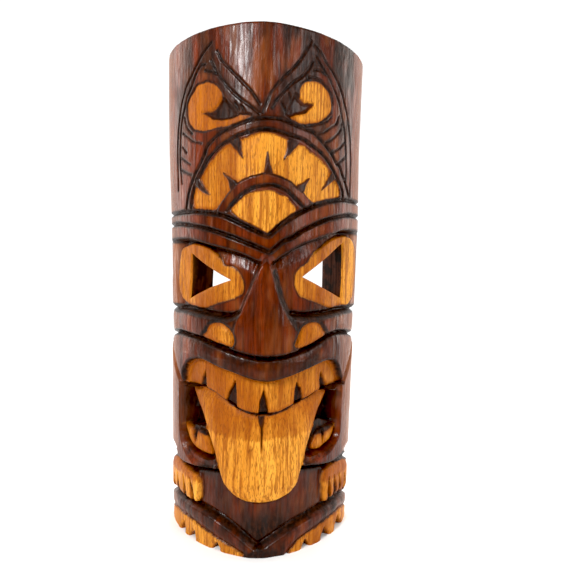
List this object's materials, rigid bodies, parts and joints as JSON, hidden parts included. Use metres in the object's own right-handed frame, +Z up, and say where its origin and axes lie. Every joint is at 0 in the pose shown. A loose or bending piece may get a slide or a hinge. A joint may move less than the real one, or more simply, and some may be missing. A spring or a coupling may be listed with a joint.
{
  "type": "carved wooden tiki wall mask",
  "caption": "Half-log wooden tiki mask with a carved, partly stained face, see-through eyes, a hollow back and two swinging D-ring hangers.",
  "frame": {"origin": "middle of the whole object's footprint, on the sawn base that it stands on", "axes": "+Z up the mask, the face looks along -Y, the flat sawn back looks along +Y; left in a name is the viewer's left, at -X"},
  "size_m": [0.21, 0.0949, 0.5],
  "materials": {
    "carved_wood": "gloss varnish over dark red-brown stain, burnt grooves and bare orange wood",
    "hanger_steel": "zinc plated"
  },
  "bodies": {
    "mask": {"mask_body": "carved_wood", "left_hanger_strap": "hanger_steel", "left_hanger_screw": "hanger_steel", "right_hanger_strap": "hanger_steel", "right_hanger_screw": "hanger_steel"},
    "left_ring": {"left_hanger_ring": "hanger_steel"},
    "right_ring": {"right_hanger_ring": "hanger_steel"}
  },
  "joints": [
    {"name": "left_ring_hinge", "type": "hinge", "parent": "mask", "child": "left_ring", "pos_m": [-0.08067, 0.0443, 0.43], "axis": [1, 0, 0], "range_deg": [0, 180]},
    {"name": "right_ring_hinge", "type": "hinge", "parent": "mask", "child": "right_ring", "pos_m": [0.08567, 0.0443, 0.43], "axis": [1, 0, 0], "range_deg": [0, 180]}
  ]
}
